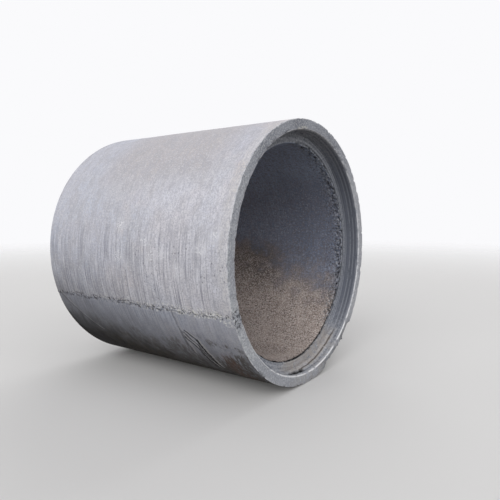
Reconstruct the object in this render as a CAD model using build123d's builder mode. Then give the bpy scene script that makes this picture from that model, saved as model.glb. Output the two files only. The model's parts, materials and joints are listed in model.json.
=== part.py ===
"""Reinforced-concrete sewer pipe with a rebated joint, lying on its side.

One cast piece: a thick, straight barrel of 1800 mm bore. The wall is halved at
each end. The mouth end keeps the outer half, as a lip round a stepped socket.
The other end keeps the inner half, as a tongue that fits the next pipe's socket
with its sealing ring.

Millimetres. The pipe's axis runs along X with the mouth towards +X, and the
barrel rests on the floor at Z = 0. The origin is on the floor, under the middle
of the overall length.
"""

import os

from build123d import *

# Barrel
bore_diameter = 1800.0
wall = 180.0
barrel_length = 2000.0  # from the mouth to the shoulder, which is what one pipe adds to a line

# Socket, its lengths measured inwards from the mouth
lip_thickness = 82.0  # across the lip's flat end
socket_depth = 140.0
lead_in_length = 14.0  # the cone that guides the tongue in
lead_in_height = 8.0
socket_land = 98.0  # from the mouth to the cone that narrows the socket
socket_step = 8.0
socket_step_length = 18.0

# Room left round the tongue once it is in a socket, lip against shoulder
joint_gap = 5.0  # at the tongue's root
end_gap = 10.0  # between the tongue's end and the socket's floor
ring_width = 28.0  # along the pipe, for the sealing ring
ring_gap = 11.0  # round the tongue's tip, where the ring is squeezed

# Edges
tongue_step_length = 4.0
tongue_tip_chamfer = 10.0
outer_edge_chamfer = 5.0
bore_edge_rounding = 6.0
inner_corner_splay = 4.0

bore_radius = bore_diameter / 2
outer_radius = bore_radius + wall
lip_radius = outer_radius - lip_thickness
socket_radius = lip_radius - lead_in_height
socket_floor_radius = socket_radius - socket_step

tongue_length = socket_depth - end_gap
tongue_land = socket_land - ring_width
tongue_root_radius = socket_radius - joint_gap
tongue_tip_radius = socket_floor_radius - ring_gap

overall_length = barrel_length + tongue_length

# The wall is drawn in a plane through the axis. There x runs from the mouth
# towards the tongue, and y from the axis outwards.
axis_at_mouth = (overall_length / 2, 0, outer_radius)
section_plane = Plane(origin=axis_at_mouth, x_dir=(-1, 0, 0), z_dir=(0, 1, 0))

socket_line = [
    (0, lip_radius),
    (lead_in_length, socket_radius),
    (socket_land, socket_radius),
    (socket_land + socket_step_length, socket_floor_radius),
    (socket_depth, socket_floor_radius),
    (socket_depth, bore_radius),
]
tongue_line = [
    (overall_length, bore_radius),
    (overall_length, tongue_tip_radius),
    (barrel_length + tongue_land + tongue_step_length, tongue_tip_radius),
    (barrel_length + tongue_land, tongue_root_radius),
    (barrel_length, tongue_root_radius),
    (barrel_length, outer_radius),
]
mouth_corner = (0, outer_radius)

with BuildPart() as pipe:
    with BuildSketch(section_plane) as wall_section:
        with BuildLine():
            Polyline(*socket_line, *tongue_line, mouth_corner, close=True)
        make_face()

        def corner(point):
            return wall_section.vertices().sort_by_distance((*point, 0))[0]

        socket_floor_corner = (socket_depth, socket_floor_radius)
        tongue_root_corner = (barrel_length, tongue_root_radius)
        tongue_tip_corner = (overall_length, tongue_tip_radius)
        chamfer([corner(socket_floor_corner), corner(tongue_root_corner)], length=inner_corner_splay)
        chamfer(corner(tongue_tip_corner), length=tongue_tip_chamfer)
        chamfer(wall_section.vertices().group_by(Axis.Y)[-1], length=outer_edge_chamfer)
        fillet(wall_section.vertices().group_by(Axis.Y)[0], radius=bore_edge_rounding)
    revolve(axis=Axis(axis_at_mouth, (-1, 0, 0)))

pipe.part.label = "pipe"

os.makedirs("parts", exist_ok=True)
export_step(pipe.part, "parts/pipe.step")
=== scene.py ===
"""Looks of a precast concrete sewer pipe that lies on its side. Metres and degrees.

The wall is one closed mesh, laced ring by ring round the pipe's section. A tree
of geometry nodes then gives it the relief that casting, lifting and handling
leave. Three finishes cover it: the barrel off a steel mould, the ends off
machined end rings, and the spun bore.

A place on the pipe is given by its distance from the mouth, its radius, and its
angle round the axis, which is 0 at the top and grows towards -Y.
"""

import json
import math
from collections import namedtuple

import bpy
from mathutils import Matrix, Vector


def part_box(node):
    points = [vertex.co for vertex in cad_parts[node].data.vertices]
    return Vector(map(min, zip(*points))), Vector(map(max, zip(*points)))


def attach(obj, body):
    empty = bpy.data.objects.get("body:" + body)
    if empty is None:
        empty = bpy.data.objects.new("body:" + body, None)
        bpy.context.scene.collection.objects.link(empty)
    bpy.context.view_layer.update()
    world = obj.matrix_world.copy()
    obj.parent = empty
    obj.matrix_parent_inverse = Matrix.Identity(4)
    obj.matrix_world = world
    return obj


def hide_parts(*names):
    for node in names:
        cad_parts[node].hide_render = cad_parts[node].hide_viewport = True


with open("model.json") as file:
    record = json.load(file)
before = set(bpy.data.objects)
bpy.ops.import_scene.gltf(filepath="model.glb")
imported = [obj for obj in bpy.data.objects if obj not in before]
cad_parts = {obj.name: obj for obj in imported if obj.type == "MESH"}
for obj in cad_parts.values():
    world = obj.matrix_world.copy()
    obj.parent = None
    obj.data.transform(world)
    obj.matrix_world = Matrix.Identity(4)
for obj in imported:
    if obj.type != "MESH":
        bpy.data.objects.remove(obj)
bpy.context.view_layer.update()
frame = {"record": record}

# The pipe's own sizes, from its solid and its joint faces
LOW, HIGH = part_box("pipe")
MOUTH = HIGH.x
LENGTH = HIGH.x - LOW.x
OUTSIDE = (HIGH.z - LOW.z) / 2
AXIS = LOW.z + OUTSIDE
PER_DEGREE = math.radians(1.0) * OUTSIDE


def joint_face(name):
    """The radius of a round joint face, and how far from the mouth it starts and ends."""
    mount = next(m for m in frame["record"]["mounts"] if m["name"] == name)
    middle = MOUTH - mount["pos_m"][0]
    half = mount["dims"]["length_mm"] / 2000
    return mount["dims"]["r_mm"] / 1000, middle - half, middle + half


SOCKET, LEAD_IN, LAND = joint_face("socket")
TONGUE, TONGUE_ROOT, TONGUE_STEP = joint_face("tongue")
BORE, BORE_START, BORE_END = joint_face("waterway")
BORE_EDGE = LENGTH - BORE_END
SHELF = BORE_START - BORE_EDGE
LEAD_IN_HEIGHT = 0.008
LIP = SOCKET + LEAD_IN_HEIGHT
SOCKET_STEP, STEP_LENGTH = 0.008, 0.018
SOCKET_FLOOR = SOCKET - SOCKET_STEP
INNER_SPLAY = 0.004
SHOULDER = TONGUE_ROOT - INNER_SPLAY
RING_GAP = 0.011
TIP = SOCKET_FLOOR - RING_GAP
TIP_STEP_LENGTH, TIP_CHAMFER = 0.004, 0.010
WORN_EDGE, CRISP_EDGE = 0.005, 0.002

# The mould's two halves meet at this angle and half a turn further
SEAM = 109.4
SEAM_REACH = 0.055

# How fine the mesh is
EDGE_STEPS = 3
MOUTH_COLUMNS = 500
BORE_COLUMNS = 228
BARREL_COLUMN = 0.038
SEAM_COLUMN = 0.005

# Relief: how high or deep, and how wide
RELIEF = {
    "Wave height": 0.0015,
    "Half mould step": 0.0012,
    "Fin height": 0.0025,
    "Pit depth": 0.008,
    "Pit size": 0.022,
    "Chip depth": 0.010,
    "Spall depth": 0.017,
    "Crumble depth": 0.016,
    "Ripple height": 0.0016,
    "Silt depth": 0.010,
}


def linear(hex_colour):
    """An sRGB hex colour as the linear colour that a shader takes."""
    parts = [int(hex_colour[i : i + 2], 16) / 255 for i in (1, 3, 5)]
    return [c / 12.92 if c <= 0.04045 else ((c + 0.055) / 1.055) ** 2.4 for c in parts] + [1.0]


def add(tree, kind, inputs=(), **settings):
    """Adds one node. Each input is a plain value, or the node or socket that feeds it."""
    node = tree.nodes.new(kind)
    for name, value in settings.items():
        setattr(node, name, value)
    for key, value in dict(inputs).items():
        named = isinstance(key, str)
        socket = next(s for s in node.inputs if s.enabled and s.name == key) if named else node.inputs[key]
        if isinstance(value, bpy.types.Node):
            value = next(s for s in value.outputs if s.enabled)
        if isinstance(value, bpy.types.NodeSocket):
            tree.links.new(value, socket)
        else:
            socket.default_value = value
    return node


def place_on_pipe(tree, position):
    """Distance from the mouth, radius and angle of each point."""
    split = add(tree, "ShaderNodeSeparateXYZ", {0: position})
    along = add(tree, "ShaderNodeMath", {0: MOUTH, 1: split.outputs["X"]}, operation="SUBTRACT")
    up = add(tree, "ShaderNodeMath", {0: split.outputs["Z"], 1: AXIS}, operation="SUBTRACT")
    front = add(tree, "ShaderNodeMath", {0: split.outputs["Y"], 1: -1.0}, operation="MULTIPLY")
    arm = add(tree, "ShaderNodeCombineXYZ", {"Y": front, "Z": up})
    radius = add(tree, "ShaderNodeVectorMath", {0: arm}, operation="LENGTH").outputs["Value"]
    turn = add(tree, "ShaderNodeMath", {0: front, 1: up}, operation="ARCTAN2")
    degrees = add(tree, "ShaderNodeMath", {0: turn}, operation="DEGREES")
    angle = add(tree, "ShaderNodeMath", {0: degrees, 1: 360.0, 2: 0.0}, operation="WRAP")
    return along, radius, angle


def between(tree, value, start, end, soft, amount=1.0):
    """The amount from start to end, fading to 0 over a soft stretch at both."""
    rise = {"Value": value, "From Min": start - soft, "From Max": start, "To Max": amount}
    risen = add(tree, "ShaderNodeMapRange", rise, interpolation_type="SMOOTHSTEP")
    fall = {"Value": value, "From Min": end, "From Max": end + soft, "To Min": risen, "To Max": 0.0}
    return add(tree, "ShaderNodeMapRange", fall, interpolation_type="SMOOTHSTEP")


def patches(tree, position, size, low, high, amount=1.0, stretch=(1, 1, 1), detail=4.0):
    """Uneven patches, this many metres across before they are stretched. They are 0 where
    the noise is under low, and the amount where it is over high."""
    scale = [1 / (size * longer) for longer in stretch]
    spread = add(tree, "ShaderNodeVectorMath", {0: position, 1: scale}, operation="MULTIPLY")
    kind = {"Vector": spread, "Scale": 1.0, "Detail": detail, "Roughness": 0.6}
    lumps = add(tree, "ShaderNodeTexNoise", kind)
    limits = {"Value": lumps, "From Min": low, "From Max": high, "To Max": amount}
    return add(tree, "ShaderNodeMapRange", limits, interpolation_type="SMOOTHSTEP")


def holes(tree, position, size, widest, amount=1.0):
    """Round holes, one to each cell of this size. A hole has faded out at the widest share of
    that size from its middle."""
    scale = add(tree, "ShaderNodeMath", {0: 1.0, 1: size}, operation="DIVIDE")
    cells = add(tree, "ShaderNodeTexVoronoi", {"Vector": position, "Scale": scale})
    limits = {"Value": cells.outputs["Distance"], "From Min": widest / 3, "From Max": widest}
    limits |= {"To Min": amount, "To Max": 0.0}
    return add(tree, "ShaderNodeMapRange", limits, interpolation_type="SMOOTHSTEP")


def folded(tree, operation, *values):
    """Several values brought to one by a sum, a product or a maximum."""
    result = values[0]
    for value in values[1:]:
        result = add(tree, "ShaderNodeMath", {0: result, 1: value}, operation=operation)
    return result


def from_top(tree, angle):
    """The angle down from the top, 0 to 180 on either side."""
    off_bottom = add(tree, "ShaderNodeMath", {0: angle, 1: 180.0}, operation="SUBTRACT")
    size = add(tree, "ShaderNodeMath", {0: off_bottom}, operation="ABSOLUTE")
    return add(tree, "ShaderNodeMath", {0: 180.0, 1: size}, operation="SUBTRACT")


def from_seam(tree, position, angle):
    """How far round the barrel a point lies past the nearer seam, which wanders slowly."""
    turned = add(tree, "ShaderNodeMath", {0: angle, 1: SEAM}, operation="SUBTRACT")
    nearer = add(tree, "ShaderNodeMath", {0: turned, 1: 90.0, 2: -90.0}, operation="WRAP")
    arc = add(tree, "ShaderNodeMath", {0: nearer, 1: PER_DEGREE}, operation="MULTIPLY")
    wander = patches(tree, position, 0.20, 0.3, 0.7, 0.022, stretch=(1, 100, 100), detail=2.0)
    return add(tree, "ShaderNodeMath", {0: arc, 1: wander}, operation="SUBTRACT")


# The wall

Run = namedtuple("Run", "start radius rounding finish columns step")
MOULDED, ENDS, SPUN = range(3)


def section():
    """The corners of the wall's section, each with the run that follows it, from the lip's
    inner edge round by the bore and the far end."""
    edge_bore, fine_bore = 0.045, 0.11
    return [
        Run(0.0, LIP, WORN_EDGE, ENDS, "mouth", 0.005),
        Run(LEAD_IN, SOCKET, CRISP_EDGE, ENDS, "mouth", 0.010),
        Run(LAND, SOCKET, CRISP_EDGE, ENDS, "mouth", 0.007),
        Run(LAND + STEP_LENGTH, SOCKET_FLOOR, CRISP_EDGE, ENDS, "mouth", 0.007),
        Run(SHELF, SOCKET_FLOOR, 0.003, ENDS, "mouth", 0.008),
        Run(SHELF, BORE, BORE_EDGE, SPUN, "mouth", 0.0045),
        Run(SHELF + edge_bore, BORE, 0.0, SPUN, "mouth", 0.011),
        Run(SHELF + fine_bore, BORE, 0.0, SPUN, "bore", 0.022),
        Run(LENGTH, BORE, BORE_EDGE, ENDS, "bore", 0.018),
        Run(LENGTH, TIP, TIP_CHAMFER, ENDS, "bore", 0.022),
        Run(TONGUE_STEP + TIP_STEP_LENGTH, TIP, CRISP_EDGE, ENDS, "bore", 0.022),
        Run(TONGUE_STEP, TONGUE, CRISP_EDGE, ENDS, "bore", 0.022),
        Run(SHOULDER, TONGUE, 0.003, ENDS, "bore", 0.018),
        Run(SHOULDER, OUTSIDE, WORN_EDGE, MOULDED, "barrel", 0.0125),
        Run(0.0, OUTSIDE, WORN_EDGE, ENDS, "mouth", 0.007),
    ]


def columns():
    """The angles at which each stretch of the wall has its points. On the barrel they crowd
    at the seams."""
    reach = SEAM_REACH / PER_DEGREE
    close = math.ceil(2 * SEAM_REACH / SEAM_COLUMN)
    wide = math.ceil((180 - 2 * reach) * PER_DEGREE / BARREL_COLUMN)
    half = [SEAM - reach + 2 * reach * i / close for i in range(close)]
    half += [SEAM + reach + (180 - 2 * reach) * i / wide for i in range(wide)]
    even = {"mouth": MOUTH_COLUMNS, "bore": BORE_COLUMNS}
    found = {name: [360 * i / n for i in range(n)] for name, n in even.items()}
    found["barrel"] = sorted(a % 360 for turn in (0, 180) for a in (h + turn for h in half))
    return found


def rounded(before, corner, after):
    """The points of a corner of the section, worn round."""
    if not corner.rounding:
        return [(corner.start, corner.radius)]
    ends = []
    for other in (before, after):
        run = (other.start - corner.start, other.radius - corner.radius)
        share = min(corner.rounding / math.hypot(*run), 0.45)
        ends.append((corner.start + share * run[0], corner.radius + share * run[1]))
    curve = []
    for i in range(EDGE_STEPS + 1):
        t = i / EDGE_STEPS
        weights = (1 - t) ** 2, 2 * t * (1 - t), t * t
        points = ends[0], (corner.start, corner.radius), ends[1]
        curve.append(tuple(sum(w * p[k] for w, p in zip(weights, points)) for k in (0, 1)))
    return curve


def rings():
    """Each ring in order: its distance from the mouth, its radius, and the finish and the
    columns of what follows."""
    runs = section()
    found = []
    for i, run in enumerate(runs):
        after = runs[(i + 1) % len(runs)]
        curve = rounded(runs[i - 1], run, after)
        goal = rounded(run, after, runs[(i + 2) % len(runs)])[0]
        start = curve[-1]
        parts = max(1, round(math.dist(start, goal) / run.step))
        curve += [tuple(a + (b - a) * k / parts for a, b in zip(start, goal)) for k in range(1, parts)]
        found += [(*point, run.finish, run.columns) for point in curve]
    return found


def laced(angles, others):
    """The faces between two rings, as lists of (ring, column). Triangles take up a change in
    the columns."""
    n, m = len(angles), len(others)
    if angles is others:
        return [[(0, i), (0, i + 1), (1, i + 1), (1, i)] for i in range(n)]
    near, far = [*angles, 360 + angles[0]], [*others, 360 + others[0]]
    faces, i, j = [], 0, 0
    while i < n or j < m:
        if j == m or (i < n and near[i + 1] <= far[j + 1]):
            faces.append([(0, i), (0, i + 1), (1, j)])
            i += 1
        else:
            faces.append([(0, i), (1, j + 1), (1, j)])
            j += 1
    return faces


def wall_mesh():
    """The pipe's wall as one closed mesh, unrolled on its UV map, with each face's finish as a number."""
    angles_of = columns()
    all_rings = rings()
    points, first = [], []
    for along, radius, _, kind in all_rings:
        first.append(len(points))
        for a in map(math.radians, angles_of[kind]):
            points.append((MOUTH - along, -radius * math.sin(a), AXIS + radius * math.cos(a)))
    followed = list(zip(all_rings, all_rings[1:] + all_rings[:1]))
    lengths = [math.dist(one[:2], other[:2]) for one, other in followed]
    faces, finishes, unrolled, height = [], [], [], 0.0
    for k, (one, other) in enumerate(followed):
        pair = angles_of[one[3]], angles_of[other[3]]
        starts = first[k], first[(k + 1) % len(first)]
        heights = height, height + lengths[k] / sum(lengths)
        height = heights[1]
        for face in laced(*pair):
            faces.append([starts[side] + column % len(pair[side]) for side, column in face])
            finishes.append(one[2])
            for side, column in face:
                turns, place = divmod(column, len(pair[side]))
                unrolled += [turns + pair[side][place] / 360, heights[side]]
    mesh = bpy.data.meshes.new("pipe_wall")
    mesh.from_pydata(points, [], faces)
    mesh.attributes.new("finish", "INT", "FACE").data.foreach_set("value", finishes)
    mesh.uv_layers.new(name="OFBake").data.foreach_set("uv", unrolled)
    mesh.shade_smooth()
    return mesh


def mould_relief(tree, position, place, given):
    """What the mould leaves on the barrel: slow waves, a small step between its halves, and
    at the seam a fin of leaked grout with pits beside it. Returns the height, and how deep
    in a pit a point lies, which the finishes darken as painted shade."""
    along, radius, angle = place
    off_seam = from_seam(tree, position, angle)
    off_lip = between(tree, along, 0.006, LENGTH, 0.005)
    barrel = between(tree, radius, OUTSIDE - 0.004, 2 * OUTSIDE, 0.006, off_lip)
    on_floor = between(tree, angle, 179, 181, 14, given["Wave height"])
    free = add(tree, "ShaderNodeMath", {0: given["Wave height"], 1: on_floor}, operation="SUBTRACT")
    waves = patches(tree, position, 0.45, 0.7, 0.3, free, detail=2.0)
    fading = {"Value": off_seam, "From Min": 0.2, "From Max": 1.1}
    fading |= {"To Min": given["Half mould step"], "To Max": 0.0}
    step = between(tree, off_seam, 0.0, 1.4, 0.006, add(tree, "ShaderNodeMapRange", fading))
    broken = patches(tree, position, 0.06, 0.40, 0.60, given["Fin height"])
    fin = between(tree, off_seam, -0.002, 0.002, 0.006, broken)
    open_cells = holes(tree, position, given["Pit size"], 0.55)
    picked = patches(tree, position, 0.07, 0.42, 0.52, open_cells, detail=2.0)
    pits = between(tree, off_seam, -0.012, 0.014, 0.020, picked)
    pits = folded(tree, "MULTIPLY", pits, barrel)
    sunk = folded(tree, "MULTIPLY", pits, given["Pit depth"])
    raised = add(tree, "ShaderNodeMath", {0: fin, 1: step}, operation="SUBTRACT")
    raised = folded(tree, "MULTIPLY", raised, barrel)
    height = add(tree, "ShaderNodeMath", {0: raised, 1: sunk}, operation="SUBTRACT")
    return add(tree, "ShaderNodeMath", {0: height, 1: waves}, operation="SUBTRACT"), pits


def edge_damage(tree, position, place, given):
    """Chips out of the lip's two edges, a crumbled edge of the bore, and a groove broken out
    of the socket's land. Returns the depth, and how far a point lies in a crumbled or broken
    place, which the finishes darken as painted shade."""
    along, radius, angle = place
    at_face = between(tree, along, -0.02, 0.004, 0.010)
    outer = between(tree, radius, OUTSIDE - 0.008, 2 * OUTSIDE, 0.012, at_face)
    inner = between(tree, radius, LIP - 0.02, LIP + 0.004, 0.010, at_face)
    lip_edges = folded(tree, "MAXIMUM", outer, inner)
    chips = patches(tree, position, 0.045, 0.545, 0.62, lip_edges)
    in_bore = between(tree, radius, 0.0, BORE + 0.022, 0.006)
    ragged = patches(tree, position, 0.06, 0.3, 0.7, 0.008)
    off_edge = add(tree, "ShaderNodeMath", {0: radius, 1: ragged}, operation="SUBTRACT")
    by_shelf = between(tree, along, SHELF - 0.006, SHELF + 0.010, 0.006)
    slit = between(tree, off_edge, BORE - 0.004, BORE + 0.004, 0.004, by_shelf)
    unbroken = between(tree, angle, 142, 192, 5, slit)
    broad = between(tree, off_edge, BORE - 0.008, BORE + 0.009, 0.004, by_shelf)
    dotted = between(tree, angle, 190, 238, 8, patches(tree, position, 0.032, 0.33, 0.45, broad))
    torn = between(tree, along, SHELF - 0.006, SHELF + 0.035, 0.070, in_bore)
    torn = between(tree, angle, 228, 375, 12, holes(tree, position, 0.028, 0.80, torn))
    torn = patches(tree, position, 0.024, 0.42, 0.52, torn)
    crumbled = folded(tree, "MAXIMUM", unbroken, dotted, torn)
    off_bore = between(tree, radius, SOCKET_FLOOR - 0.010, 2.0, 0.004)
    meander = patches(tree, position, 0.09, 0.3, 0.7, 0.018)
    off_path = add(tree, "ShaderNodeMath", {0: along, 1: meander}, operation="SUBTRACT")
    crack = between(tree, off_path, 0.042, 0.074, 0.008, off_bore)
    broken_out = patches(tree, position, 0.030, 0.29, 0.41, between(tree, angle, 156, 179.5, 3, crack))
    chip_depth = folded(tree, "MULTIPLY", chips, given["Chip depth"])
    deep = folded(tree, "MAXIMUM", crumbled, broken_out)
    crumble_depth = folded(tree, "MULTIPLY", deep, given["Crumble depth"])
    return folded(tree, "MAXIMUM", chip_depth, crumble_depth), deep


def spalled_rim(tree, position, place, given):
    """Pieces spalled off the barrel's edge at the mouth, low on its far side. Returns the way
    each point moves, straight into the corner."""
    along, radius, angle = place
    by_face = between(tree, along, -0.02, 0.0, 0.045, given["Spall depth"])
    by_rim = between(tree, radius, OUTSIDE, 2 * OUTSIDE, 0.045, by_face)
    low_side = between(tree, angle, 199, 226, 3, by_rim)
    depth = patches(tree, position, 0.09, 0.33, 0.47, low_side)
    upright = {0: position, 1: (0, 1, 1), 2: (0, 0, -AXIS)}
    arm = add(tree, "ShaderNodeVectorMath", upright, operation="MULTIPLY_ADD")
    outward = add(tree, "ShaderNodeVectorMath", {0: arm}, operation="NORMALIZE")
    corner = add(tree, "ShaderNodeVectorMath", {0: outward, 1: (1, 0, 0)}, operation="ADD")
    inward = add(tree, "ShaderNodeMath", {0: depth, 1: -1.0}, operation="MULTIPLY")
    return add(tree, "ShaderNodeVectorMath", {0: corner, "Scale": inward}, operation="SCALE")


def silt(tree, position, place, given):
    """Silt that lies in the low side of the socket. Returns its height and cover."""
    along, radius, angle = place
    in_socket = between(tree, along, 0.070, SHELF - 0.004, 0.012)
    low_down = between(tree, angle, 176, 212, 12, in_socket)
    open_side = between(tree, radius, 0.0, SOCKET - 0.001, 0.004, low_down)
    cover = patches(tree, position, 0.05, 0.30, 0.52, open_side)
    return folded(tree, "MULTIPLY", cover, given["Silt depth"]), cover


def relief_tree(finishes):
    """Geometry nodes that give the wall its relief, mark where it is sunk, for painted shade,
    and where it is silted, and hand out the finishes."""
    tree = bpy.data.node_groups.new("relief", "GeometryNodeTree")
    tree.interface.new_socket("Geometry", in_out="INPUT", socket_type="NodeSocketGeometry")
    for name in RELIEF:
        tree.interface.new_socket(name, in_out="INPUT", socket_type="NodeSocketFloat")
    tree.interface.new_socket("Geometry", in_out="OUTPUT", socket_type="NodeSocketGeometry")
    given = tree.nodes.new("NodeGroupInput").outputs
    result = tree.nodes.new("NodeGroupOutput")

    position = add(tree, "GeometryNodeInputPosition").outputs[0]
    place = place_on_pipe(tree, position)
    moulded, pits = mould_relief(tree, position, place, given)
    damage, deep = edge_damage(tree, position, place, given)
    silted, cover = silt(tree, position, place, given)
    in_bore = between(tree, place[1], 0.0, BORE + 0.002, 0.004)
    rippled = folded(tree, "MULTIPLY", in_bore, given["Ripple height"])
    ripples = patches(tree, position, 0.035, 0.35, 0.65, rippled, stretch=(1, 14, 14), detail=2.0)
    raised = folded(tree, "ADD", moulded, silted)
    lowered = folded(tree, "ADD", damage, ripples)
    height = add(tree, "ShaderNodeMath", {0: raised, 1: lowered}, operation="SUBTRACT")
    normal = add(tree, "GeometryNodeInputNormal")
    push = add(tree, "ShaderNodeVectorMath", {0: normal, "Scale": height}, operation="SCALE")
    spalled = spalled_rim(tree, position, place, given)
    push = add(tree, "ShaderNodeVectorMath", {0: push, 1: spalled}, operation="ADD")
    shape = add(tree, "GeometryNodeSetPosition", {"Geometry": given["Geometry"], "Offset": push})

    # The first mark is darkened as painted shade in every finish.
    marks = {"hollow": folded(tree, "MAXIMUM", pits, deep), "silt": cover}
    for name, value in marks.items():
        mark = {"Geometry": shape, "Name": name, "Value": value}
        shape = add(tree, "GeometryNodeStoreNamedAttribute", mark)
    shape = add(tree, "GeometryNodeRealizeInstances", {"Geometry": shape})
    number = add(tree, "GeometryNodeInputNamedAttribute", {"Name": "finish"}, data_type="INT")
    for k, material in enumerate(finishes):
        chosen = add(tree, "FunctionNodeCompare", {2: number, 3: k}, data_type="INT", operation="EQUAL")
        dressed = {"Geometry": shape, "Selection": chosen, "Material": material}
        shape = add(tree, "GeometryNodeSetMaterial", dressed)
    tree.links.new(shape.outputs[0], result.inputs[0])
    return tree


def weathered_pipe(finishes):
    """The pipe after casting, handling and weather: the wall with its relief, as a plain mesh."""
    rough = bpy.data.objects.new("rough_wall", wall_mesh())
    bpy.context.scene.collection.objects.link(rough)
    tree = relief_tree(finishes)
    modifier = rough.modifiers.new("relief", "NODES")
    modifier.node_group = tree
    for socket in tree.interface.items_tree:
        if socket.name in RELIEF:
            modifier[socket.identifier] = RELIEF[socket.name]
    depsgraph = bpy.context.evaluated_depsgraph_get()
    mesh = bpy.data.meshes.new_from_object(rough.evaluated_get(depsgraph), depsgraph=depsgraph)
    pipe = bpy.data.objects.new("concrete_pipe", mesh)
    bpy.context.scene.collection.objects.link(pipe)
    bpy.data.objects.remove(rough)
    return pipe


# The finishes


def new_finish(name):
    """A bare material, its tree, its surface shader, and each point's place, plain and on the
    pipe. Dry concrete has the default IOR of 1.5 and scatters light nearly evenly, so it is
    rough with little gloss."""
    material = bpy.data.materials.new(name)
    material.use_nodes = True
    tree = material.node_tree
    surface = tree.nodes["Principled BSDF"]
    surface.inputs["Roughness"].default_value = 0.9
    surface.inputs["Specular IOR Level"].default_value = 0.2
    position = add(tree, "ShaderNodeTexCoord").outputs["Object"]
    return material, tree, surface, position, place_on_pipe(tree, position)


def coated(tree, surface, base, coats):
    """Lays each coat over what is there, and gives the surface the result. A coat is its cover,
    its colour and, where it isn't laid on in full, its strength."""
    colour = linear(base)
    for cover, coat, *strength in coats:
        share = folded(tree, "MULTIPLY", cover, *strength)
        mixed = {"Factor": share, "A": colour, "B": linear(coat)}
        colour = add(tree, "ShaderNodeMix", mixed, data_type="RGBA").outputs[2]
    tree.links.new(colour, surface.inputs["Base Color"])


def embossed(tree, surface, height, depth):
    """Fine relief, this many metres deep, where the height goes from 0 to 1."""
    bump = add(tree, "ShaderNodeBump", {"Height": height, "Distance": depth, "Strength": 1.0})
    tree.links.new(bump.outputs["Normal"], surface.inputs["Normal"])


def marked(tree, name):
    """How strongly the relief marked a point as sunk, which gets painted shade, or as silted."""
    return add(tree, "ShaderNodeAttribute", attribute_name=name).outputs["Fac"]


def torn_edge_grime_and_shadow(tree, position, place):
    """Dark grime and painted shadow in the torn low edge of the bore, on the shelf and in the bore alike.
    """
    along, radius, angle = place
    by_edge = between(tree, radius, BORE - 0.004, BORE + 0.011, 0.004)
    by_edge = between(tree, along, SHELF - 0.006, SHELF + 0.012, 0.005, by_edge)
    by_edge = between(tree, angle, 143, 238, 8, by_edge)
    return patches(tree, position, 0.028, 0.33, 0.47, by_edge)


SCUFFS = [(1.08, 77), (0.78, 83), (0.61, 88), (1.08, 90), (0.23, 85), (0.11, 80), (0.72, 89), (0.45, 94)]


def scuffed(tree, along, angle):
    """Round places where the skin is scuffed, on the front of the barrel."""
    reach = 0.06
    found = []
    for middle, turn in SCUFFS:
        away = add(tree, "ShaderNodeMath", {0: angle, 1: float(turn)}, operation="SUBTRACT")
        round_about = add(tree, "ShaderNodeMath", {0: away, 1: PER_DEGREE}, operation="MULTIPLY")
        lengthwise = add(tree, "ShaderNodeMath", {0: along, 1: middle}, operation="SUBTRACT")
        offset = add(tree, "ShaderNodeCombineXYZ", {0: lengthwise, 1: round_about})
        distance = add(tree, "ShaderNodeVectorMath", {0: offset}, operation="LENGTH").outputs["Value"]
        found.append(between(tree, distance, 0.0, reach / 3, reach))
    return folded(tree, "MAXIMUM", *found)


# Each stroke's angle and distance from the mouth, at its upper and at its lower end, and how dark it is
SCRAPES = [
    ((120.5, 0.530), (126.5, 0.447), 0.7),
    ((126.5, 0.447), (137.0, 0.402), 0.8),
    ((119.5, 0.507), (123.5, 0.427), 0.8),
    ((123.5, 0.427), (132.7, 0.391), 1.0),
    ((132.7, 0.391), (142.0, 0.385), 1.0),
    ((122.4, 0.546), (129.4, 0.457), 0.8),
    ((129.4, 0.457), (142.5, 0.421), 0.8),
    ((110.5, 0.574), (120.0, 0.556), 0.4),
    ((120.0, 0.556), (133.0, 0.547), 0.5),
    ((110.0, 1.950), (130.0, 1.620), 0.3),
]


def scraped(tree, position, along, angle):
    """Strokes that something hard scraped below the seam, and the bright burr along the side
    of each towards the mouth."""
    strokes, burrs = [], []
    wander = patches(tree, position, 0.05, 0.3, 0.7, 0.014)
    along = add(tree, "ShaderNodeMath", {0: along, 1: wander}, operation="SUBTRACT")
    bite = patches(tree, position, 0.020, 0.32, 0.44)
    for (upper, start), (lower, end), strength in SCRAPES:
        limits = {"Value": angle, "From Min": upper, "From Max": lower, "To Min": start, "To Max": end}
        path = add(tree, "ShaderNodeMapRange", limits)
        away = add(tree, "ShaderNodeMath", {0: along, 1: path}, operation="SUBTRACT")
        covered = between(tree, angle, upper, lower, 0.6, strength)
        strokes.append(between(tree, away, -0.008, 0.009, 0.006, covered))
        burrs.append(between(tree, away, -0.030, -0.018, 0.006, covered))
    dark, bright = folded(tree, "MAXIMUM", *strokes), folded(tree, "MAXIMUM", *burrs)
    return folded(tree, "MULTIPLY", dark, bite), folded(tree, "MULTIPLY", bright, bite)


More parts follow.
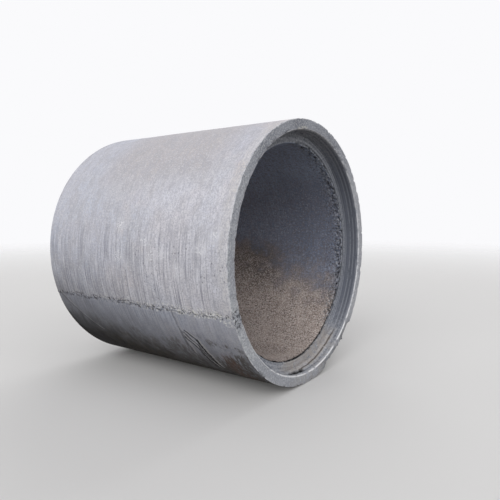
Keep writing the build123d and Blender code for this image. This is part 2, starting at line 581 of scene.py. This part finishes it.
def off_steel_mould():
    """Precast concrete off an oiled steel mould. It is dense, matt and pale, clouded where
    the oil or the water lay, and drawn with fine streaks round the barrel where the mould
    was wiped and rain ran down. Painted light pales its front flank by the mouth. Painted
    shade darkens its pits, and with damp dirt its lower side towards the far end."""
    material, tree, surface, position, place = new_finish("precast concrete off a steel mould")
    along, _, angle = place
    off_seam = from_seam(tree, position, angle)
    lower_half = between(tree, angle, 90, 140, 50)
    below = between(tree, off_seam, 0.0, 1.4, 0.008, lower_half)
    warm = patches(tree, position, 0.50, 0.40, 0.58, 0.9)
    cool = patches(tree, position, 0.40, 0.46, 0.60, 0.5)
    mottled = patches(tree, position, 0.075, 0.45, 0.62, 0.5, stretch=(1, 2, 2))
    far = between(tree, along, 1.8, 3.0, 0.9, 0.65)
    rim = between(tree, along, 0.0, 0.05, 0.05, 0.45)
    down = from_top(tree, angle)
    flank = between(tree, down, 92, 112, 26, between(tree, along, 0.24, 3.0, 0.22))
    settled = between(tree, down, 0, 46, 26, between(tree, along, 0.5, 1.3, 0.4, 0.75))
    # Painted light: a paler band on the front flank by the mouth.
    paler_band = between(tree, down, 66, 102, 14, between(tree, along, 0.0, 0.6, 0.4, 0.6))
    # Painted shade: the lower side is darker towards the far end.
    far_lower_shade = between(tree, down, 98, 190, 24, between(tree, along, 1.1, 3.0, 0.5, 0.25))
    # Real streaks, sand grains and pinholes are 1 to 8 mm wide. They are drawn 8 to 18 mm
    # wide, so that they show from afar.
    coarse = patches(tree, position, 0.010, 0.50, 0.62, flank, stretch=(1, 50, 50))
    pale = patches(tree, position, 0.018, 0.50, 0.64, flank, stretch=(1, 12, 12))
    pricked = between(tree, along, 0.0, 0.8, 0.6, patches(tree, position, 0.16, 0.44, 0.60))
    pinholes = holes(tree, position, 0.034, 0.26, between(tree, down, 86, 106, 8, pricked))
    fine = patches(tree, position, 0.008, 0.46, 0.64, 0.5, stretch=(1, 8, 8), detail=3.0)
    rising = {"Value": down, "From Min": 62, "From Max": 88, "To Min": 0.6, "To Max": 0.75}
    rough = add(tree, "ShaderNodeMapRange", rising)
    grain = patches(tree, position, 0.012, 0.46, 0.56, rough)
    bright = patches(tree, position, 0.013, 0.51, 0.59, rough)
    pores = holes(tree, position, 0.045, 0.075, 0.8)
    scuffs = patches(tree, position, 0.012, 0.50, 0.60, scuffed(tree, along, angle), detail=2.0)
    specks = patches(tree, position, 0.020, 0.52, 0.57, between(tree, off_seam, -0.012, 0.014, 0.020))
    by_lip = between(tree, along, 0.0, 0.05, 0.12, 0.045)
    seam_down = add(tree, "ShaderNodeMath", {0: off_seam, 1: by_lip}, operation="SUBTRACT")
    grout_band = between(tree, along, 0.0, 0.6, 1.6, between(tree, seam_down, -0.040, 0.020, 0.02))
    grout = patches(tree, position, 0.018, 0.53, 0.59, grout_band)
    crumbled = between(tree, along, 0.0, 0.38, 0.30, between(tree, seam_down, -0.030, 0.018, 0.020))
    crumbs = patches(tree, position, 0.016, 0.53, 0.60, crumbled)
    uneven = patches(tree, position, 0.22, 0.3, 0.7, 14.0)
    wavy = folded(tree, "ADD", down, uneven)
    soiled = between(tree, wavy, 146, 214, 10)
    splashed = patches(tree, position, 0.05, 0.36, 0.60, soiled)
    # Under the far end: a dark film and a near-black band, partly damp dirt and partly painted shade and
    # shadow.
    frayed = folded(tree, "ADD", down, patches(tree, position, 0.09, 0.3, 0.7, 7.0, stretch=(1, 2, 2)))
    farther = add(tree, "ShaderNodeMath", {0: along, 1: 16.0, 2: frayed}, operation="MULTIPLY_ADD")
    damp_and_shade = between(tree, farther, 170, 260, 56, 0.9)
    wet_dirt_and_shadow = between(tree, farther, 172, 300, 24, 0.97)
    strokes, burrs = scraped(tree, position, along, angle)
    by_mouth = between(tree, angle, 90, 180, 2, between(tree, along, 0.06, 0.32, 0.04))
    splattered = folded(tree, "MAXIMUM", by_mouth, between(tree, along, 0.0, 1.3, 0.6, 0.55))
    muddy = between(tree, wavy, 137, 200, 6, splattered)
    mud = patches(tree, position, 0.020, 0.42, 0.54, muddy, stretch=(1, 3, 3))
    rust_place = between(tree, angle, 133, 150, 6, between(tree, along, 0.16, 0.26, 0.05, 0.8))
    rust = patches(tree, position, 0.010, 0.44, 0.60, rust_place, stretch=(1, 12, 12))
    coated(tree, surface, "#c8c8d2", [
        (warm, "#cfc7c6"),
        (cool, "#c4cad5"),
        (far, "#bcc2d1"),
        (settled, "#b6afad"),
        # Painted light on the front flank by the mouth
        (paler_band, "#d8d8e1"),
        # Painted shade on the lower side towards the far end
        (far_lower_shade, "#8f96a5"),
        (mottled, "#aaa8ac"),
        (rim, "#cdc9c4"),
        (grain, "#a9a9b2"),
        (bright, "#d0cfd3"),
        (fine, "#a8a8b2"),
        (pale, "#dedee5", 0.45),
        (coarse, "#82838f", 0.7),
        (below, "#8f96a6", 0.45),
        (pores, "#5f5f66"),
        (pinholes, "#5a5a61", 0.6),
        (scuffs, "#e6e6ea", 0.75),
        (specks, "#45454c", 0.85),
        (grout, "#dcdbd8", 0.7),
        (crumbs, "#e9e9e4", 0.8),
        # Partly damp dirt, partly painted shade and shadow under the far end
        (damp_and_shade, "#4f4d4c"),
        (wet_dirt_and_shadow, "#151416"),
        (splashed, "#2a2623", 0.45),
        (mud, "#4c453b", 0.75),
        (rust, "#614a3f"),
        (burrs, "#b9b6b4", 0.7),
        (strokes, "#201f21", 0.95),
        # Pits darkened: painted shade
        (marked(tree, "hollow"), "#34343a", 0.9),
    ])
    embossed(tree, surface, grain, 0.0010)
    return material


def off_end_ring():
    """Concrete off a machined steel end ring. It is smoother than the barrel, with the
    ring's turning marks, worn pale along its edges, and its low side is dusty. Painted
    highlights brighten its edges. Painted shade darkens the far side of the socket, a line
    on the shelf, the torn edge of the bore and its broken places."""
    material, tree, surface, position, place = new_finish("concrete off a machined end ring")
    along, radius, angle = place
    clouds = patches(tree, position, 0.14, 0.40, 0.60, 0.7)
    drawn = patches(tree, position, 0.014, 0.45, 0.62, 0.5, stretch=(1, 3, 3))
    # Sand grains of about 2 mm are drawn 13 to 17 mm wide, so that they show
    grain = patches(tree, position, 0.013, 0.42, 0.60, 0.7)
    chalky = patches(tree, position, 0.014, 0.50, 0.60, 0.6)
    sandy = patches(tree, position, 0.017, 0.52, 0.62, between(tree, along, LEAD_IN, 0.5, 0.006, 0.7))
    pores = holes(tree, position, 0.040, 0.14, 0.8)
    # Turning marks are drawn 34 mm apart, coarser than real ones, so that they show
    rings_apart = add(tree, "ShaderNodeMath", {0: radius, 1: along}, operation="ADD")
    wave = add(tree, "ShaderNodeMath", {0: rings_apart, 1: 2 * math.pi / 0.034}, operation="MULTIPLY")
    turned = add(tree, "ShaderNodeMath", {0: wave}, operation="SINE")
    face = between(tree, along, -0.02, 0.006, 0.006)
    inside = between(tree, along, LEAD_IN, 0.5, 0.006)
    grooves = patches(tree, position, 0.10, 0.30, 0.50, between(tree, turned, 0.2, 2.0, 0.5, inside))
    ridges = patches(tree, position, 0.10, 0.30, 0.50, between(tree, turned, -2.0, -0.7, 0.5, inside))
    dusty = patches(tree, position, 0.06, 0.40, 0.60, between(tree, angle, 176, 205, 20, 0.3))
    behind = between(tree, angle, 235, 320, 30, folded(tree, "MULTIPLY", face, 0.8))
    soiled = patches(tree, position, 0.04, 0.35, 0.55, between(tree, angle, 198, 222, 12, face))
    turned_up = add(tree, "ShaderNodeMath", {0: angle, 1: 180.0, 2: -180.0}, operation="WRAP")
    top = between(tree, turned_up, -28, 32, 30, folded(tree, "MULTIPLY", face, 0.9))
    paler_band = between(tree, angle, 108, 132, 14, folded(tree, "MULTIPLY", face, 0.7))
    nicked = between(tree, radius, LIP - 0.01, LIP + 0.016, 0.008, between(tree, turned_up, 4, 10, 2, face))
    nicks = patches(tree, position, 0.018, 0.44, 0.52, nicked)
    # Painted shade inside the socket on its far side, stronger on the land than on the shelf.
    on_land = between(tree, radius, SOCKET_FLOOR - 0.004, 2.0, 0.006, inside)
    shade = add(tree, "ShaderNodeMath", {0: on_land, 1: 0.50, 2: 0.40}, operation="MULTIPLY_ADD")
    socket_shade = between(tree, angle, 245, 310, 46, folded(tree, "MULTIPLY", inside, shade))
    # A painted highlight along the lip's inner edge, low on the mouth.
    inner_edge = between(tree, radius, LIP - 0.009, LIP + 0.003, 0.003, face)
    highlit_low_edge = patches(tree, position, 0.07, 0.28, 0.50, between(tree, angle, 138, 220, 24, inner_edge))
    # Edges worn pale, with a painted highlight along them.
    barrel_edge = between(tree, radius, OUTSIDE - 0.004, 2.0, 0.006)
    lip_edge = between(tree, radius, LIP - 0.006, LIP + 0.003, 0.004, face)
    worn_and_highlit = patches(tree, position, 0.05, 0.35, 0.60, folded(tree, "MAXIMUM", lip_edge, barrel_edge))
    on_shelf = between(tree, along, SHELF - 0.004, 0.3, 0.004)
    bore_edge = between(tree, radius, BORE, BORE + 0.018, 0.004, on_shelf)
    ragged = patches(tree, position, 0.03, 0.38, 0.55, between(tree, angle, 255, 350, 12, bore_edge))
    # A painted shadow line on the shelf, just outside the bore's edge.
    beyond = between(tree, radius, BORE + 0.020, BORE + 0.028, 0.008, on_shelf)
    shelf_shadow_line = patches(tree, position, 0.05, 0.34, 0.50, between(tree, angle, 235, 345, 15, beyond))
    dirty_line = between(tree, along, 0.076, 0.084, 0.006, between(tree, angle, 182, 216, 5))
    joint_line = patches(tree, position, 0.035, 0.30, 0.46, dirty_line)
    grime_and_shadow = torn_edge_grime_and_shadow(tree, position, place)
    in_seam = between(tree, angle, SEAM - 0.4, SEAM + 0.4, 0.6)
    round_seam = between(tree, angle, SEAM - 1.5, SEAM + 5.5, 2.0, face)
    specks = patches(tree, position, 0.020, 0.50, 0.56, folded(tree, "MAXIMUM", in_seam, round_seam))
    coated(tree, surface, "#b6b9c0", [
        (behind, "#cdced2"),
        (paler_band, "#d4d6d9"),
        (top, "#6f727c"),
        (clouds, "#a6a9b2"),
        (drawn, "#9a9da6"),
        (grain, "#93959d"),
        (chalky, "#d3d4d6"),
        # Painted shade inside the socket's far side
        (socket_shade, "#5d616c"),
        (sandy, "#60656f"),
        (grooves, "#555963", 0.30),
        (ridges, "#b9bcc3", 0.25),
        (soiled, "#77767a", 0.6),
        (nicks, "#d9d6cc", 0.8),
        (pores, "#5b5c62"),
        # Worn pale edges with a painted highlight
        (worn_and_highlit, "#dddde0", 0.7),
        (ragged, "#a4a8b0", 0.7),
        # Painted shadow line on the shelf
        (shelf_shadow_line, "#3f434b", 0.65),
        (specks, "#45454b", 0.8),
        (dusty, "#a69d94"),
        (marked(tree, "silt"), "#b5aca4", 0.5),
        (joint_line, "#4f473f", 0.75),
        # Grime and painted shadow in the torn edge of the bore
        (grime_and_shadow, "#1b1b1e", 0.9),
        # Painted highlight on the lip's low inner edge
        (highlit_low_edge, "#f0f0f2", 0.85),
        # Crumbled and broken-out places darkened to near black: painted shadow
        (marked(tree, "hollow"), "#101012", 0.97),
    ])
    embossed(tree, surface, grain, 0.0010)
    return material


def spun_bore():
    """Concrete spun in the turning mould. It is coarser than the barrel, with slow ripples
    round it, slate grey, and its low side is under brown dust, which reaches higher towards
    the far end. Painted light pales its top. Painted shade darkens its far wall by the mouth,
    a damp patch halfway down, the edge of the dust, and its torn and broken edge."""
    material, tree, surface, position, place = new_finish("spun concrete under dust")
    along, _, angle = place
    clouds = patches(tree, position, 0.20, 0.40, 0.60, 0.5)
    drawn = patches(tree, position, 0.022, 0.42, 0.62, 0.5, stretch=(1, 8, 8))
    # Grains of dust and sand up to 4 mm are drawn 13 to 19 mm wide, so that they show
    grain = patches(tree, position, 0.014, 0.42, 0.58, 0.5)
    turned_up = add(tree, "ShaderNodeMath", {0: angle, 1: 180.0, 2: -180.0}, operation="WRAP")
    # Painted light: the top of the bore is paler.
    lit_ceiling = between(tree, turned_up, -35, 60, 28, 0.8)
    # Open pores and rubbed grains of 1 to 3 mm are drawn 18 to 24 mm wide, so that they show
    porous = patches(tree, position, 0.024, 0.50, 0.62, 0.40)
    rubbed = patches(tree, position, 0.018, 0.53, 0.64, 0.32)
    # Painted shade: the far wall of the bore is darker by the mouth.
    by_mouth = between(tree, along, 0.0, 0.50, 0.50, 0.6)
    side = between(tree, angle, 270, 307, 20, by_mouth)
    uneven = patches(tree, position, 0.12, 0.3, 0.7, 16.0)
    deeper = add(tree, "ShaderNodeMath", {0: along, 1: 20.0, 2: -25.0}, operation="MULTIPLY_ADD")
    wavy = folded(tree, "ADD", from_top(tree, angle), uneven, deeper)
    dust = between(tree, wavy, 125, 300, 32)
    aggregate = patches(tree, position, 0.14, 0.34, 0.54, holes(tree, position, 0.019, 0.64, dust))
    grit = patches(tree, position, 0.013, 0.51, 0.58, dust)
    drifted = patches(tree, position, 0.22, 0.44, 0.60, folded(tree, "MULTIPLY", dust, 0.5))
    # Painted shadow along the edge of the dust.
    fringe_shadow = between(tree, wavy, 103, 110, 18, 0.30)
    # A dark brown patch halfway down the far wall, partly damp and partly painted shade.
    halfway = between(tree, along, 1.05, 1.35, 0.36, between(tree, angle, 244, 260, 16, 0.6))
    damp_and_shade = patches(tree, position, 0.10, 0.33, 0.50, halfway)
    torn_edge = between(tree, angle, 228, 375, 12, between(tree, along, 0.0, SHELF + 0.040, 0.060))
    fresh = patches(tree, position, 0.019, 0.50, 0.58, torn_edge)
    past_edge = between(tree, angle, 238, 330, 16, between(tree, along, 0.0, 0.20, 0.22, 0.6))
    pitted = patches(tree, position, 0.016, 0.53, 0.59, past_edge)
    grime_and_shadow = torn_edge_grime_and_shadow(tree, position, place)
    coated(tree, surface, "#959db0", [
        (clouds, "#8b94a8", 0.6),
        (drawn, "#828b9f"),
        (grain, "#798398"),
        # Painted light on the top of the bore
        (lit_ceiling, "#b2c1db"),
        # Painted shade on the far wall by the mouth
        (side, "#6c7589"),
        (drawn, "#6c778b", 0.5),
        (porous, "#59647a"),
        (rubbed, "#c9d6ec"),
        (dust, "#bbada6"),
        (drifted, "#a1928a"),
        # Painted shadow along the edge of the dust
        (fringe_shadow, "#6b5e56"),
        # Partly damp, partly painted shade halfway down
        (damp_and_shade, "#534b45"),
        (grain, "#85766d", 0.8),
        (aggregate, "#453d39", 0.65),
        (grit, "#e0d7d2", 0.7),
        (pitted, "#3a3d45"),
        (fresh, "#b9bcc3", 0.6),
        # Grime and painted shadow in the torn edge of the bore
        (grime_and_shadow, "#1b1b1e", 0.9),
        # Crumbled places darkened: painted shadow
        (marked(tree, "hollow"), "#141416", 0.95),
    ])
    embossed(tree, surface, grain, 0.002)
    return material


# The stage

EYE = (3.018, -3.516, 1.419)
EYE_TURN, EYE_TILT = math.radians(126.01), math.radians(-4.44)
FOCAL_PIXELS, PICTURE_PIXELS, SENSOR = 488.3, 500, 36.0


def set_camera():
    """Stands at the photo's own point of view, 1.4 m above the floor."""
    data = bpy.data.cameras.new("camera")
    data.sensor_width = SENSOR
    data.lens = SENSOR * FOCAL_PIXELS / PICTURE_PIXELS
    camera = bpy.data.objects.new("camera", data)
    camera.location = EYE
    camera.rotation_euler = (math.pi / 2 + EYE_TILT, 0, EYE_TURN - math.pi / 2)
    bpy.context.scene.collection.objects.link(camera)
    bpy.context.scene.camera = camera


def seen_directly(tree):
    """1 for rays that show a surface to the eye, straight or mirrored, and 0 for those that
    carry light about."""
    path = add(tree, "ShaderNodeLightPath").outputs
    seeing = ("Camera", "Glossy", "Transmission")
    return folded(tree, "MAXIMUM", *(path[f"Is {kind} Ray"] for kind in seeing))


def lay_floor():
    """A pale floor that holds the pipe's shadow and fades into the background. The light that
    it throws back up is that of a much darker floor."""
    half, clear, gone = 40.0, 5.0, 22.0
    mesh = bpy.data.meshes.new("floor")
    corners = [(-half, -half, 0), (half, -half, 0), (half, half, 0), (-half, half, 0)]
    mesh.from_pydata(corners, [], [(0, 1, 2, 3)])
    floor = bpy.data.objects.new("floor", mesh)
    bpy.context.scene.collection.objects.link(floor)
    material = bpy.data.materials.new("pale floor")
    material.use_nodes = True
    tree = material.node_tree
    surface = tree.nodes["Principled BSDF"]
    surface.inputs["Roughness"].default_value = 1.0
    surface.inputs["Specular IOR Level"].default_value = 0.0
    seen = seen_directly(tree)
    shade = {"Factor": seen, "A": linear("#5d5b59"), "B": linear("#dddcdb")}
    colour = add(tree, "ShaderNodeMix", shade, data_type="RGBA")
    tree.links.new(colour.outputs[2], surface.inputs["Base Color"])
    position = add(tree, "ShaderNodeTexCoord").outputs["Object"]
    distance = add(tree, "ShaderNodeVectorMath", {0: position}, operation="LENGTH").outputs["Value"]
    alpha = between(tree, distance, -1.0, clear, gone - clear)
    tree.links.new(alpha.outputs[0], surface.inputs["Alpha"])
    mesh.materials.append(material)


def set_sky():
    """A bright overcast sky, weaker towards the horizon, that looks plain and pale."""
    world = bpy.data.worlds.new("overcast sky")
    world.use_nodes = True
    bpy.context.scene.world = world
    tree = world.node_tree
    direction = add(tree, "ShaderNodeTexCoord").outputs["Generated"]
    height = add(tree, "ShaderNodeSeparateXYZ", {0: direction}).outputs["Z"]
    ground_glow, horizon_glow, zenith_glow = 0.11, 0.20, 0.55
    rise = {"Value": height, "From Max": 0.9, "To Min": horizon_glow, "To Max": zenith_glow}
    light = add(tree, "ShaderNodeMapRange", rise)
    above = between(tree, height, 0.0, 2.0, 0.02)
    light = add(tree, "ShaderNodeMix", {"Factor": above, "A": ground_glow, "B": light})
    strength = add(tree, "ShaderNodeMix", {"Factor": seen_directly(tree), "A": light, "B": 1.0})
    tree.links.new(strength.outputs[0], tree.nodes["Background"].inputs["Strength"])
    tree.nodes["Background"].inputs["Color"].default_value = linear("#fafafc")


def hang_lamp(name, energy, tilt, turn):
    """A broad soft part of the sky that is brighter than the rest."""
    light = bpy.data.lights.new(name, "SUN")
    light.energy = energy
    light.angle = math.radians(60)
    lamp = bpy.data.objects.new(name, light)
    lamp.rotation_euler = (math.radians(tilt), 0, math.radians(turn))
    bpy.context.scene.collection.objects.link(lamp)


bpy.context.scene.view_settings.view_transform = "Standard"
set_camera()
pipe = weathered_pipe([off_steel_mould(), off_end_ring(), spun_bore()])
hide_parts("pipe")
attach(pipe, "root")
lay_floor()
set_sky()
hang_lamp("front of the barrel", 2.05, 66, 12)
hang_lamp("front of the mouth", 0.85, 68, 75)
hang_lamp("behind", 1.2, 64, 200)
